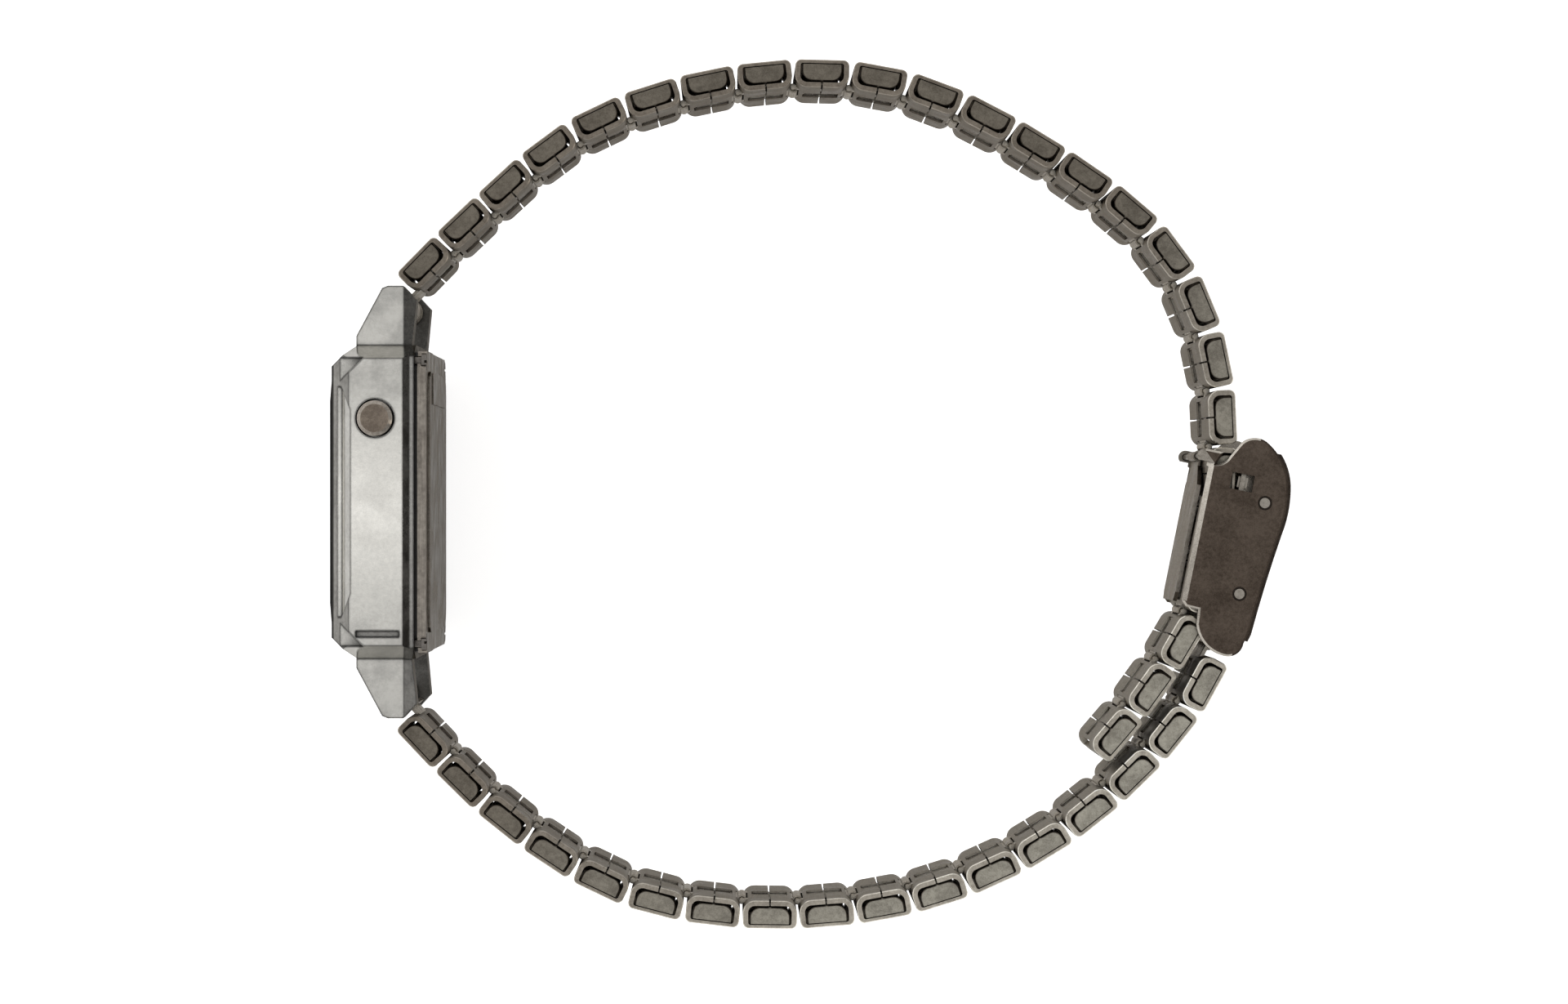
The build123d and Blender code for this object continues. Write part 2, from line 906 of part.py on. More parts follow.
def button_pocket(place, side):
    """The room in the module for a button's inner end and its retaining ring."""
    pocket = block(
        button_depth - button_pocket_half,
        button_depth + button_pocket_half,
        place - button_pocket_half,
        place + button_pocket_half,
        button_pocket_end,
        cavity_half_width,
    )
    return pocket if side > 0 else mirror(pocket, Plane.XY)


def module_frame():
    """The moulded frame that holds the display in front and the board and battery behind."""
    outline = RectangleRounded(2 * frame_half_length, 2 * frame_half_width, cavity_corner)
    solid = facing(outline, lcd_depth, frame_back_depth)
    front = Rectangle(2 * (lcd_half_length + fit_gap), 2 * (lcd_half_width + fit_gap))
    solid -= facing(front, lcd_depth - overrun, frame_back_depth + overrun)
    back = Rectangle(2 * (board_half_length + fit_gap), 2 * (board_half_width + fit_gap))
    solid -= facing(back, board_depth - fit_gap, frame_back_depth + overrun)
    for name, place, side in button_places():
        solid -= button_pocket(place, side)
    return solid


def circuit_board():
    """The board with its chip, quartz can and the leaf contacts that the buttons press."""
    board = facing(
        Rectangle(2 * board_half_length, 2 * board_half_width),
        board_depth,
        board_depth + board_thickness,
    )
    chip = front_rod((0, 0), chip_radius, board_depth - chip_height, board_depth)
    quartz = Pos(board_depth - quartz_radius, -quartz_place, quartz_place) * Cylinder(
        quartz_radius, quartz_length
    )
    contacts = []
    for name, place, side in button_places():
        edge = board_half_width - contact_thickness
        contact = block(
            board_depth - contact_height,
            board_depth,
            place - contact_half_width,
            place + contact_half_width,
            edge,
            board_half_width,
        )
        contacts.append(contact if side > 0 else mirror(contact, Plane.XY))
    return group(board, chip, quartz, *contacts)


def battery():
    """The 20 by 1.6 mm coin cell, with its smaller cap towards the board."""
    cap_end = battery_depth + battery_cap_height
    can = front_rod((0, 0), battery_radius, cap_end, battery_back)
    return can + front_rod((0, 0), battery_cap_radius, battery_depth, cap_end)


def battery_clip():
    """The spring strap across the battery's back, hooked down into the frame at both ends."""
    strap = block(
        battery_back + battery_clip_lift,
        battery_clip_back,
        -battery_clip_half_width,
        battery_clip_half_width,
        -board_half_width,
        board_half_width,
    )
    tab = block(
        board_depth + board_thickness + battery_clip_lift,
        battery_clip_back,
        -battery_clip_half_width,
        battery_clip_half_width,
        board_half_width - battery_clip_tab,
        board_half_width,
    )
    return strap + both_sides(tab)


def case_back_gasket():
    """The flat seal between the case and its back."""
    outside = cut_corner_rectangle(
        back_half_length - gasket_inset, back_half_width - gasket_inset, back_corner
    )
    inside = RectangleRounded(2 * cavity_half_length, 2 * cavity_half_width, cavity_corner)
    solid = facing(outside, case_back_depth, plate_depth)
    solid -= facing(inside, case_back_depth - overrun, plate_depth + overrun)
    for place in screw_places():
        solid -= front_rod(
            place, screw_radius + fit_gap, case_back_depth - overrun, plate_depth + overrun
        )
    return solid


def case_back():
    """The steel back with its raised middle, the thicker pad towards 12 o'clock and screw seats."""
    plate = facing(
        cut_corner_rectangle(back_half_length, back_half_width, back_corner), plate_depth, plate_back
    )
    pad = facing(
        RectangleRounded(2 * pad_half_length, 2 * pad_half_width, pad_corner),
        plate_back - fit_gap,
        plate_back + pad_height,
    )
    boss = block(
        plate_back - fit_gap,
        plate_back + boss_height,
        boss_low,
        boss_high,
        -boss_half_width,
        boss_half_width,
    )
    solid = plate + pad + boss
    for place in screw_places():
        solid -= front_rod(place, screw_radius + fit_gap, plate_depth - overrun, plate_back + overrun)
        solid -= front_rod(
            place,
            screw_head_radius + fit_gap,
            plate_back - screw_head_height - fit_gap,
            plate_back + boss_height + overrun,
        )
    return solid


def screw(place):
    """One case back screw with its cross slot."""
    head = front_rod(place, screw_head_radius, plate_back - screw_head_height, plate_back)
    shank = front_rod(place, screw_radius, plate_back - screw_length, plate_back)
    slot = Rectangle(2 * screw_head_radius, screw_slot) + Rectangle(screw_slot, 2 * screw_head_radius)
    cut = facing(
        Pos(place[0], place[1]) * slot, plate_back - screw_slot_sink, plate_back + overrun
    )
    return head + shank - cut


def button(place, side):
    """A push button: its cap and shaft, and the retaining ring inside the case."""
    low = half_case - button_well_sink + button_travel + button_gap
    high = half_case + button_proud
    axis = (button_depth, place)
    cap = rod(axis, button_cap_radius, low, high)
    cap = chamfer(cap.edges().sort_by(Axis.Z)[-1], button_cap_bevel)
    shaft = rod(axis, button_shaft_radius, button_shaft_end, low + fit_gap)
    ring_high = cavity_half_width - button_ring_gap
    ring_low = ring_high - button_ring_thickness
    ring = rod(axis, button_ring_radius, ring_low, ring_high)
    ring -= rod(axis, button_ring_groove, ring_low - overrun, ring_high + overrun)
    groove = rod(axis, button_shaft_radius + overrun, ring_low, ring_high)
    groove -= rod(axis, button_ring_groove, ring_low - overrun, ring_high + overrun)
    solids = group(cap + shaft - groove, ring)
    return solids if side > 0 else mirror(solids, Plane.XY)


def spring_bar(place):
    """A spring bar: a tube with a thinner sprung tip at each end."""
    body = rod((place.X, place.Y), bar_radius, -bar_half_length, bar_half_length)
    collar_end = (bar_half_length + lug_inner) / 2
    collar = rod((place.X, place.Y), bar_collar_radius, -collar_end, collar_end)
    tip_end = bar_half_length + bar_tip_length
    return body + collar + rod((place.X, place.Y), bar_tip_radius, -tip_end, tip_end)


# Clasp, built in its own frame and then placed at the upper strand's end

def cheek_outline():
    """The side view of the clasp's cheek, with its round nose and its lobe at the end pin."""
    edges = [
        Line((cheek_top, cheek_edge), (cheek_bottom, cheek_edge)),
        Line((cheek_bottom, cheek_edge), cheek_notch),
        Line(cheek_notch, cheek_lobe_start),
        Line(cheek_lobe_start, cheek_lobe_flat),
        ThreePointArc(cheek_lobe_flat, cheek_lobe_side, cheek_lobe_end),
        ThreePointArc(cheek_lobe_end, cheek_lobe_heel, cheek_tail),
        Line(cheek_tail, cheek_back_end),
        ThreePointArc(cheek_back_end, cheek_back_middle, cheek_back_start),
        ThreePointArc(cheek_back_start, cheek_crown, cheek_crown_start),
        ThreePointArc(cheek_crown_start, cheek_brow, cheek_nose),
        ThreePointArc(cheek_nose, cheek_chin, cheek_throat),
        Line(cheek_throat, cheek_neck),
        ThreePointArc(cheek_neck, cheek_shoulder, (cheek_top, cheek_edge)),
    ]
    return make_face(edges)


def clasp_housing():
    """The sliding housing: two cheeks, the base between them and lips behind the links."""
    ear = Pos(*flap_pin_place) * Circle(flap_ear_radius)
    ear_root = Polygon(
        (flap_pin_place[0] - flap_ear_radius, flap_pin_place[1]),
        (flap_pin_place[0] + flap_ear_radius, flap_pin_place[1]),
        (cheek_top + flap_ear_radius, cheek_edge + lip_thickness),
        (flap_pin_place[0] - flap_ear_radius, cheek_shoulder[1]),
        align=None,
    )
    outline = cheek_outline() + ear + ear_root
    cheek = across(outline, cheek_inner, cheek_outer)
    cheek = chamfer(cheek.faces().sort_by(Axis.Z)[-1].edges(), cheek_bevel)
    bend = Polygon(
        (cheek_edge - overrun, cheek_outer + overrun),
        (cheek_edge + cheek_bend + overrun, cheek_outer + overrun),
        (cheek_edge - overrun, cheek_outer - cheek_bend - overrun),
        align=None,
    )
    cheek -= facing(bend, cheek_top, cheek_bottom)
    opening = block(
        window_corner_low[0],
        window_corner_high[0],
        window_corner_low[1],
        window_corner_high[1],
        cheek_inner - overrun,
        cheek_outer + overrun,
    )
    cheek -= opening
    for place in dimple_places:
        cheek -= rod(place, dimple_radius, cheek_outer - dimple_sink, cheek_outer + overrun)
        boss_end = cheek_outer - dimple_sink + dimple_boss_height
        cheek += rod(place, dimple_boss_radius, cheek_outer - dimple_sink - fit_gap, boss_end)
    lip = block(
        lip_start,
        cheek_bottom,
        cheek_edge,
        cheek_edge + lip_thickness,
        cheek_inner - lip_width,
        cheek_inner + fit_gap,
    )
    base = block(base_start, base_end, base_low, base_high, 0, cheek_inner + fit_gap)
    latch_step = half_band - latch_head_length
    latch_body = block(
        latch_body_low[0],
        latch_body_high[0],
        latch_body_low[1],
        latch_body_high[1],
        0,
        latch_step + fit_gap,
    )
    latch_head = block(
        latch_head_low[0],
        latch_head_high[0],
        latch_head_low[1],
        latch_head_high[1],
        latch_step,
        half_band,
    )
    half = cheek + lip + base + latch_body + latch_head
    seat = cheek_inner + pin_seat + fit_gap
    for place, radius in clasp_pin_sizes():
        half -= rod(place, radius + fit_gap, cheek_inner - overrun, seat)
    return both_sides(half)


def clasp_pin_sizes():
    """The place and radius of each pin across the clasp."""
    return (
        (end_pin_place, end_pin_radius),
        (cover_pin_place, cover_pin_radius),
        (flap_pin_place, flap_pin_radius),
    )


def clasp_pins():
    reach = cheek_inner + pin_seat
    return group(*[rod(place, radius, -reach, reach) for place, radius in clasp_pin_sizes()])


def clasp_flap():
    """The locking flap on the wrist side, hinged at its upper end."""
    outline = Polygon(
        *mirrored_points(
            (
                (flap_start, flap_root_half),
                (flap_start + flap_shoulder, flap_half_width),
                (flap_end - flap_corner, flap_half_width),
                (flap_end, flap_half_width - flap_corner),
            )
        ),
        align=None,
    )
    plate = Rot(90, 0, 0) * extrude(outline, flap_thickness, dir=(0, 0, 1))
    plate = Pos(0, flap_level + flap_thickness, 0) * plate
    root = block(
        flap_pin_place[0],
        flap_start + fit_gap,
        flap_level,
        flap_level + flap_thickness / 2,
        -flap_root_half,
        flap_root_half,
    )
    knuckle = rod(flap_pin_place, flap_knuckle_radius, -flap_root_half, flap_root_half)
    bore = rod(flap_pin_place, flap_pin_radius + running_gap, -half_band, half_band)
    return plate + root + knuckle - bore


def clasp_cover():
    """The cover along the clasp's outer edge, hinged between the cheeks near their round nose."""
    contour = cheek_outline()
    wide = offset(contour, cover_proud)
    narrow = offset(contour, cover_proud - cover_thickness)
    keep = Polygon(
        (cover_start, cover_pin_place[1]),
        (cover_end, cheek_tail[1] - fit_gap),
        (cover_end, cheek_tail[1] + cover_ear_radius),
        (cheek_crown[0], cheek_crown[1] + cover_ear_radius),
        (cover_start, cheek_crown[1] + cover_ear_radius),
        align=None,
    )
    shell = across((wide - narrow) & keep, -half_band, half_band)
    flange_view = narrow & Polygon(
        (cover_flange_start, cover_flange_level),
        (cover_flange_end, cover_flange_level),
        (cover_flange_end, cheek_crown[1]),
        (cover_flange_start, cheek_crown[1]),
        align=None,
    )
    flange = across(flange_view, half_band - cover_flange_width, half_band)
    ear_view = Pos(*cover_pin_place) * Circle(cover_ear_radius)
    ear_view += narrow & Polygon(
        (cover_pin_place[0] - cover_ear_radius, cover_pin_place[1]),
        (cover_flange_start + fit_gap, cover_pin_place[1]),
        (cover_flange_start + fit_gap, cheek_crown[1]),
        (cover_pin_place[0] - cover_ear_radius, cheek_crown[1]),
        align=None,
    )
    ear = across(ear_view, half_band - cover_ear_width, half_band)
    lip_level = cheek_back_middle[1] + cover_proud
    lip = rod(
        (cover_lip_place, lip_level), cover_lip_radius, -cover_lip_half_width, cover_lip_half_width
    )
    bore = rod(cover_pin_place, cover_pin_radius + running_gap, -cheek_inner, cheek_inner)
    return shell + both_sides(flange + ear) + lip - bore


def in_clasp(solid):
    """A solid of the clasp's own frame, placed in the loop."""
    return Location((clasp_start.X, clasp_start.Y, 0), (0, 0, clasp_turn)) * solid


# All nodes, by name

nodes = {
    "case": case(),
    "crystal": crystal(),
    "dial_plate": dial_plate(),
    "lcd_panel": lcd_panel(),
    "lcd_connectors": lcd_connectors(),
    "module_frame": module_frame(),
    "circuit_board": circuit_board(),
    "battery": battery(),
    "battery_clip": battery_clip(),
    "case_back_gasket": case_back_gasket(),
    "case_back": case_back(),
    "case_back_screws": group(*[screw(place) for place in screw_places()]),
    "spring_bars": group(spring_bar(upper_bar), spring_bar(lower_bar)),
    "clasp_housing": in_clasp(clasp_housing()),
    "clasp_pins": in_clasp(clasp_pins()),
    "clasp_flap": in_clasp(clasp_flap()),
    "clasp_cover": in_clasp(clasp_cover()),
}
for button_name, place, side in button_places():
    nodes[button_name] = button(place, side)

lug_eye = end_eye(-end_reach, bar_radius, end_eye_wall)
lug_hook = open_hook(-end_reach)
pin_eye = end_eye(pin_reach, end_pin_radius, end_pin_wall)
plain_link = link_solids(rear_bar, front_eye)

for number, place in enumerate(upper_links, 1):
    solids = link_solids(lug_eye, front_eye) if number == 1 else plain_link
    nodes[f"upper_link_{number:02d}"] = placed(solids, place, 1)

for number, place in enumerate(lower_links, 1):
    solids = plain_link
    if number == 1:
        solids = link_solids(lug_hook, front_eye)
    if number == len(lower_links):
        solids = link_solids(rear_bar, pin_eye)
    nodes[f"lower_link_{number:02d}"] = placed(solids, place, -1)

nodes["clasp_inner_links"] = group(*[placed(plain_link, place, 1) for place in inner_links])

for number, place in enumerate(tail_links, 1):
    solids = link_solids(rear_bar, None) if number == len(tail_links) else plain_link
    nodes[f"tail_link_{number}"] = placed(solids, place, 1)

# The origin goes under the middle of the whole watch, on the floor
boxes = [node.bounding_box() for node in nodes.values()]
low_corner = [min(tuple(box.min)[axis] for box in boxes) for axis in range(3)]
high_corner = [max(tuple(box.max)[axis] for box in boxes) for axis in range(3)]
to_origin = Vector(
    -(low_corner[0] + high_corner[0]) / 2,
    -(low_corner[1] + high_corner[1]) / 2,
    -low_corner[2],
)

print("strands turned by", round(upper_turn, 3), round(lower_turn, 3))
print("size", [round(high - low, 2) for low, high in zip(low_corner, high_corner)])
print("shift", [round(value, 3) for value in tuple(to_origin)])

for name, node in nodes.items():
    export_step(Location(tuple(to_origin)) * node, os.path.join("parts", name + ".step"))
print(len(nodes), "nodes")
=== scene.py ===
import json
import math

import bpy
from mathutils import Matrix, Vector


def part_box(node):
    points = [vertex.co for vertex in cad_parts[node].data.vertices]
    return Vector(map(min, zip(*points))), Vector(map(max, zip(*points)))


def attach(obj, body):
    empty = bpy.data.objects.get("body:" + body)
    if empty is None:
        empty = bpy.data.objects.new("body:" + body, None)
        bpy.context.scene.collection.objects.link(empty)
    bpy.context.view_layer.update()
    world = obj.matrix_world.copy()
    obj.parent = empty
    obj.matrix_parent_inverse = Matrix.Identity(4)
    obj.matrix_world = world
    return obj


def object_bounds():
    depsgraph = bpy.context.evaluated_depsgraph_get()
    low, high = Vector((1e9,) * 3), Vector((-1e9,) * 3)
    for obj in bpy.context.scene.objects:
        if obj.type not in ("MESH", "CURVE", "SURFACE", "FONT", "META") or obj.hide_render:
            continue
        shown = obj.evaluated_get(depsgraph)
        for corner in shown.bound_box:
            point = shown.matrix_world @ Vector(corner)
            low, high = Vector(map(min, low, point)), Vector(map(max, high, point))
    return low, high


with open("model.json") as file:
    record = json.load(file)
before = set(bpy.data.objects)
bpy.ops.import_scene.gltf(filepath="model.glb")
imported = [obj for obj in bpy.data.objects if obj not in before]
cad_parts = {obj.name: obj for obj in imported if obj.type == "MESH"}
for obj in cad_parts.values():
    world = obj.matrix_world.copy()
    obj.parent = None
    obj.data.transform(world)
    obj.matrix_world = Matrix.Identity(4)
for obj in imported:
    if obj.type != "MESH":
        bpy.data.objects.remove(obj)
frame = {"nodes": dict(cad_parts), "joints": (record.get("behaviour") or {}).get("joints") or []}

# Looks for the digital watch that lies on its side: materials for every node, display
# segments, a camera straight above it, a white floor and soft light. Lengths are in metres.

cad_low, cad_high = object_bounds()
nodes = frame["nodes"]
mm = 0.001

# A whole share, and a factor that changes nothing
full = 1.0

# Camera, straight above the loop. Its axis meets the picture left of the middle.
camera_place = (-7.39 * mm, -0.688 * mm, 470.0 * mm)
camera_lens = 118.1
camera_sensor = 36.0
camera_shift = 0.0365
camera_near = 0.01
camera_far = 20.0

# Grain of the finishes, as noise scales per metre
fine_grain = 9000.0
middle_grain = 2800.0
broad_grain = 420.0
stain_grain = 130.0
floor_grain = 3.0
noise_detail = 4.0
stroke_stretch = 0.04
bump_distance = 0.02 * mm

# Shares of the pits in steel's grain, and of the grain in its tone
pit_share = 0.5
grain_share = 0.6

# Spans of a noise over which roughness, a mottled colour and steel's tone change
rough_span = (0.35, 0.65)
mottle_span = (0.30, 0.70)
tone_span = (0.40, 0.60)

# Painted shade in narrow gaps and corners, by how open a place is
band_gap_shade_reach = 0.5 * mm
case_gap_shade_reach = 1.0 * mm
gap_shade_dark = 0.12
gap_shade_span = (0.25, 0.80)
gap_shade_samples = 6

# Painted shade: a dark line along the edges of polished steel, by how alike its rounded and flat
# normals are
edge_width = 0.30 * mm
edge_shade_dark = 0.12
edge_span = (0.93, 0.997)
edge_samples = 6

# Black seal that shows along the case's front edge
seal_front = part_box("case")[0].x
seal_width = 0.15 * mm
seal_fade = 0.08 * mm
seal_dark = 0.08

# Painted light: the links are painted brighter and greyer towards the clasp's lower end. Places are
# X less Y.
painted_light_span = (0.0, 65 * mm)
painted_light_gains = (2.65, 2.85, 3.0)
painted_light_shares = {
    "link_end": full,
    "link_rim": full,
    "link_face": 0.45,
    "insert_end": full,
    "insert_rim": full,
}

# Finishes of steel: light and dark colour in linear light, roughness, strokes and relief
along_y = (1, stroke_stretch, 1)
along_z = (1, 1, stroke_stretch)
even = (1, 1, 1)
steel_finishes = {
    "link_end": ((0.240, 0.211, 0.175), (0.142, 0.122, 0.100), (0.40, 0.52), even, 0.35),
    "link_rim": ((0.500, 0.455, 0.395), (0.330, 0.295, 0.250), (0.26, 0.38), even, 0.15),
    "link_face": ((0.260, 0.235, 0.203), (0.155, 0.138, 0.117), (0.26, 0.40), along_z, 0.30),
    "insert_end": ((0.195, 0.175, 0.144), (0.110, 0.097, 0.079), (0.42, 0.56), even, 0.50),
    "insert_rim": ((0.290, 0.253, 0.212), (0.195, 0.168, 0.140), (0.30, 0.42), even, 0.15),
    # Painted highlight on the clips between the links
    "clip_strip_highlight": ((0.680, 0.640, 0.570), (0.400, 0.370, 0.320), (0.20, 0.34), along_z, 0.20),
    "case_panel": ((0.640, 0.632, 0.600), (0.530, 0.525, 0.500), (0.07, 0.12), even, 0.02),
    "case_brushed": ((0.520, 0.525, 0.510), (0.360, 0.365, 0.355), (0.22, 0.36), along_y, 0.25),
    "case_scoop": ((0.620, 0.615, 0.590), (0.450, 0.445, 0.425), (0.08, 0.16), even, 0.06),
    # Slopes and facets are painted darker than the panel, as shade
    "case_slope_shaded": ((0.330, 0.323, 0.306), (0.200, 0.195, 0.184), (0.06, 0.14), even, 0.06),
    "case_facet_shaded": ((0.360, 0.355, 0.340), (0.230, 0.226, 0.215), (0.08, 0.18), even, 0.06),
    "case_shade": ((0.140, 0.138, 0.132), (0.070, 0.069, 0.066), (0.20, 0.34), even, 0.10),
    # Painted shade in the button wells and on inner faces
    "case_inner_shade": ((0.200, 0.196, 0.186), (0.110, 0.107, 0.100), (0.30, 0.45), even, 0.20),
    "cheek_flat": ((0.118, 0.093, 0.075), (0.060, 0.046, 0.036), (0.40, 0.54), even, 0.40),
    # Painted highlight on the cheeks' bends
    "cheek_rim_highlight": ((0.640, 0.600, 0.540), (0.460, 0.425, 0.375), (0.14, 0.26), even, 0.10),
    "clasp_sheet": ((0.400, 0.370, 0.328), (0.250, 0.228, 0.198), (0.22, 0.36), along_z, 0.25),
    # Painted shade on the cover's edges and on faces sunk a little below the cheek
    "cover_edge_shade": ((0.075, 0.060, 0.050), (0.036, 0.029, 0.024), (0.30, 0.44), even, 0.20),
    "pin_steel": ((0.480, 0.470, 0.450), (0.300, 0.290, 0.275), (0.12, 0.26), even, 0.10),
    "button_cap": ((0.265, 0.222, 0.182), (0.150, 0.123, 0.100), (0.26, 0.40), even, 0.30),
    "button_side": ((0.480, 0.440, 0.390), (0.250, 0.220, 0.190), (0.10, 0.20), along_z, 0.10),
    "back_plate": ((0.330, 0.300, 0.265), (0.160, 0.143, 0.125), (0.16, 0.30), along_y, 0.20),
    "screw_head": ((0.220, 0.205, 0.190), (0.120, 0.110, 0.100), (0.22, 0.36), even, 0.20),
    "battery_can": ((0.620, 0.620, 0.600), (0.460, 0.460, 0.445), (0.20, 0.34), along_z, 0.15),
    "strap_strip": ((0.480, 0.460, 0.420), (0.320, 0.300, 0.270), (0.22, 0.36), along_z, 0.15),
}
polished_finishes = ("case_panel", "case_brushed", "case_scoop", "case_slope_shaded", "case_facet_shaded")
sealed_finishes = ("case_slope_shaded", "case_facet_shaded")
polished_tint = (0.82, 0.81, 0.79, 1)
dull_tint = (0.42, 0.39, 0.35, 1)

# Finishes that aren't steel: light and dark colour, roughness and strength of the gloss
plain_relief = 0.02
plain_finishes = {
    "crystal_edge": ((0.010, 0.010, 0.011), (0.004, 0.004, 0.005), (0.45, 0.60), 0.05),
    "dial_plastic": ((0.022, 0.027, 0.040), (0.010, 0.012, 0.020), (0.10, 0.20), 0.5),
    "lcd_glass": ((0.270, 0.300, 0.240), (0.215, 0.240, 0.190), (0.14, 0.24), 0.5),
    "lcd_segment": ((0.035, 0.040, 0.035), (0.018, 0.022, 0.018), (0.30, 0.40), 0.3),
    "zebra_rubber": ((0.060, 0.060, 0.060), (0.020, 0.020, 0.020), (0.50, 0.65), 0.3),
    "gasket_rubber": ((0.022, 0.022, 0.022), (0.010, 0.010, 0.010), (0.50, 0.65), 0.3),
    "frame_plastic": ((0.030, 0.030, 0.032), (0.015, 0.015, 0.016), (0.35, 0.50), 0.4),
    "board_laminate": ((0.020, 0.090, 0.035), (0.010, 0.050, 0.020), (0.25, 0.40), 0.5),
}

# Crystal: its tint where smeared and where clear, its roughness and how much it bends light
crystal_smeared = (0.80, 0.84, 0.84)
crystal_clear = (0.95, 0.97, 0.97)
crystal_rough = (0.02, 0.09)
crystal_bending = 1.5

# Nodes with one finish all over
whole_finishes = {
    "clasp_flap": "clasp_sheet",
    "clasp_pins": "pin_steel",
    "spring_bars": "pin_steel",
    "case_back": "back_plate",
    "case_back_screws": "screw_head",
    "case_back_gasket": "gasket_rubber",
    "battery": "battery_can",
    "battery_clip": "strap_strip",
    "dial_plate": "dial_plastic",
    "lcd_panel": "lcd_glass",
    "lcd_connectors": "zebra_rubber",
    "module_frame": "frame_plastic",
    "circuit_board": "board_laminate",
}

# Widths that tell a link's solids apart: the folded sheet is widest, an end plate narrowest
least_sheet_width = 17.9 * mm
most_plate_width = 2.0 * mm
weld_reach = 0.001 * mm

# Least part of a face's unit normal along an axis, from square to it down to slightly turned to it
square = 0.99
nearly_square = 0.95
facing = 0.9
slanted = 0.3
turned = 0.2

# Faces of the case, by the parts of their normals and their depth below the side panel
well_radius = 1.7 * mm
well_wall_tilt = 0.1
ledge_depths = (0.1 * mm, 1.0 * mm)
scoop_forward = (0.86, 0.90)
scoop_outward = (0.44, 0.50)
slope_forward = 0.5
steep_end_turn = 0.6
steep_end_depth = 1.2 * mm
shallow_end_turns = (0.2, 0.5)
shallow_end_depth = 1.6 * mm
undercut_backward = 0.7
undercut_outward = 0.5
undercut_end_y = -13.5 * mm

# Faces of the clasp, by their distance from the flap's hinge and their depth below the cheek
ear_radius = 0.62 * mm
flat_depth = 0.02 * mm
ring_depths = (0.1 * mm, 0.3 * mm)

# Display: four large digits with a colon and two small ones, as segments on the panel's front
large_reading = "10:58"
small_reading = "36"
large_size = (2.7 * mm, 6.0 * mm)
small_size = (1.6 * mm, 3.6 * mm)
large_stroke = 0.52 * mm
small_stroke = 0.34 * mm
digit_gap = 0.5 * mm
colon_space = 1.2 * mm
colon_levels = (large_size[1] / 3, 2 * large_size[1] / 3)
group_gap = 0.7 * mm
segment_gap = 0.06 * mm
segment_depth = 0.03 * mm
digit_middle_y = -1.9 * mm
lit_segments = {
    "0": "abcdef",
    "1": "bc",
    "2": "abdeg",
    "3": "abcdg",
    "4": "bcfg",
    "5": "acdfg",
    "6": "acdefg",
    "7": "abc",
    "8": "abcdefg",
    "9": "abcdfg",
}

# Floor, which glows for the camera, and less for glossy surfaces
floor_colour = (0.93, 0.93, 0.93)
floor_blotch_share = 0.99
floor_roughness = 0.9
floor_reach = 3.0
floor_gap = 0.02 * mm
floor_glow = 0.7
floor_gloss_glow = 0.15
white = (1, 1, 1, 1)

# Lamps: name, place, width, power and colour
lamps = (
    ("key_light", (-0.45, -0.35, 0.70), 0.5, 1.2, (1.0, 1.0, 1.0)),
    ("side_light", (0.70, -0.20, 0.25), 0.3, 0.4, (1.0, 0.90, 0.78)),
)

# Brightness of the sky from left to right, and a factor at shares of a narrow band across it
sky_left = 1.40
sky_right = 0.62
sky_span = (-0.7, 0.7)
sky_band = (-0.08, 0.08)
sky_shades = ((0.0, 0.66), (0.32, 0.50), (0.51, 1.75), (0.64, 0.44), (0.80, 0.72), (1.0, 0.84))
sky_shade_top = max(level for share, level in sky_shades)
sky_colour = (1.0, 0.99, 0.975, 1)


# Node helpers

def supply(tree, value, socket):
    """Links a socket to another node's output, or gives it a plain value."""
    if isinstance(value, bpy.types.NodeSocket):
        tree.links.new(value, socket)
    else:
        socket.default_value = value


def add(tree, kind, **inputs):
    """A node of a kind, with its sockets supplied by name."""
    node = tree.nodes.new(kind)
    for name, value in inputs.items():
        supply(tree, value, node.inputs[name.replace("_", " ")])
    return node


def operate(tree, kind, operation, first, second):
    """A node that does one operation on two values or outputs."""
    node = tree.nodes.new(kind)
    node.operation = operation
    for value, socket in zip((first, second), node.inputs):
        supply(tree, value, socket)
    return node


def maths(tree, operation, first, second):
    return operate(tree, "ShaderNodeMath", operation, first, second).outputs["Value"]


def fresh_material(name):
    material = bpy.data.materials.new(name)
    material.use_nodes = True
    tree = material.node_tree
    tree.nodes.clear()
    shader = tree.nodes.new("ShaderNodeBsdfPrincipled")
    add(tree, "ShaderNodeOutputMaterial", Surface=shader.outputs["BSDF"])
    return material, tree, shader


def place_parts(tree, space):
    """The parts X, Y and Z of the place in a space, as outputs by name."""
    place = tree.nodes.new("ShaderNodeTexCoord")
    return add(tree, "ShaderNodeSeparateXYZ", Vector=place.outputs[space]).outputs


def noise(tree, scale, stretch=even):
    """Noise in the object's own space, stretched along an axis where asked."""
    place = tree.nodes.new("ShaderNodeTexCoord")
    stretched = add(tree, "ShaderNodeMapping", Vector=place.outputs["Object"], Scale=stretch)
    texture = add(
        tree,
        "ShaderNodeTexNoise",
        Vector=stretched.outputs["Vector"],
        Scale=scale,
        Detail=noise_detail,
    )
    return texture.outputs["Fac"]


def mixed(tree, first, second, share):
    """Two noises in one, with a share of the second."""
    return add(tree, "ShaderNodeMix", Factor=share, A=first, B=second).outputs["Result"]


